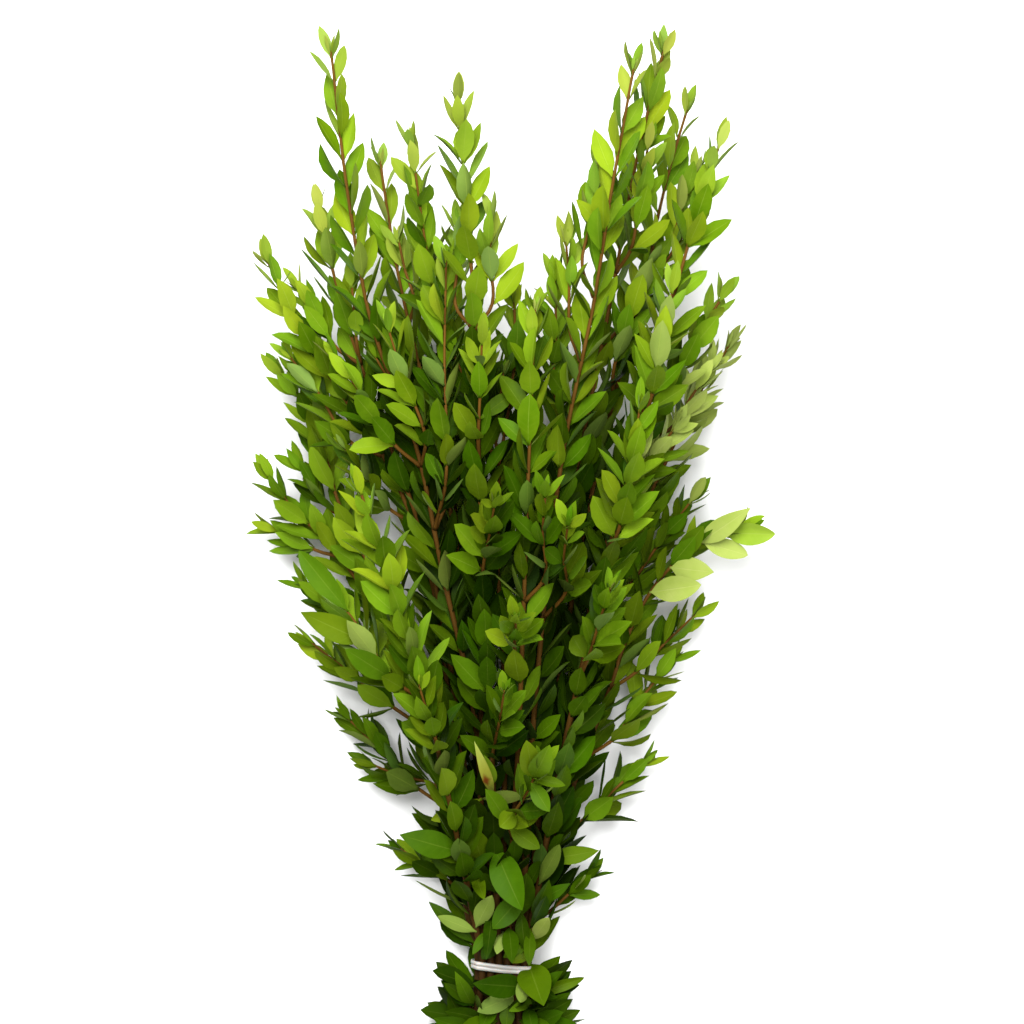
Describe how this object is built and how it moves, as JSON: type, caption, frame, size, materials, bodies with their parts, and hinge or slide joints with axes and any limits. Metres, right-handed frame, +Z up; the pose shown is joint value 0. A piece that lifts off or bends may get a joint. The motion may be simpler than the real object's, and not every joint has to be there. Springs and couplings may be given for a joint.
{
  "type": "tied bunch of cut myrtle branches",
  "caption": "Bunch of leafy evergreen cuttings with woody stems and pointed leaves, fanned out above a white elastic band near the cut ends, lying on its side.",
  "frame": {"origin": "centre of the footprint, on the surface that the bunch lies on", "axes": "+Y along the bunch from the cut ends to the tips, +Z up from the surface, +X across"},
  "size_m": [0.3412, 0.672, 0.1815],
  "materials": {
    "foliage": "living leaves and thin woody stems, half glossy",
    "elastic": "smooth off-white elastic"
  },
  "bodies": {
    "root": {"upper_branch_1": "foliage", "upper_branch_2": "foliage", "upper_branch_3": "foliage", "upper_branch_4": "foliage", "upper_branch_5": "foliage", "upper_branch_6": "foliage", "middle_branch_1": "foliage", "middle_branch_2": "foliage", "middle_branch_3": "foliage", "middle_branch_4": "foliage", "middle_branch_5": "foliage", "middle_branch_6": "foliage", "middle_branch_7": "foliage", "lower_branch_1": "foliage", "lower_branch_2": "foliage", "lower_branch_3": "foliage", "lower_branch_4": "foliage", "lower_branch_5": "foliage", "lower_branch_6": "foliage", "tie_band": "elastic"}
  },
  "joints": []
}
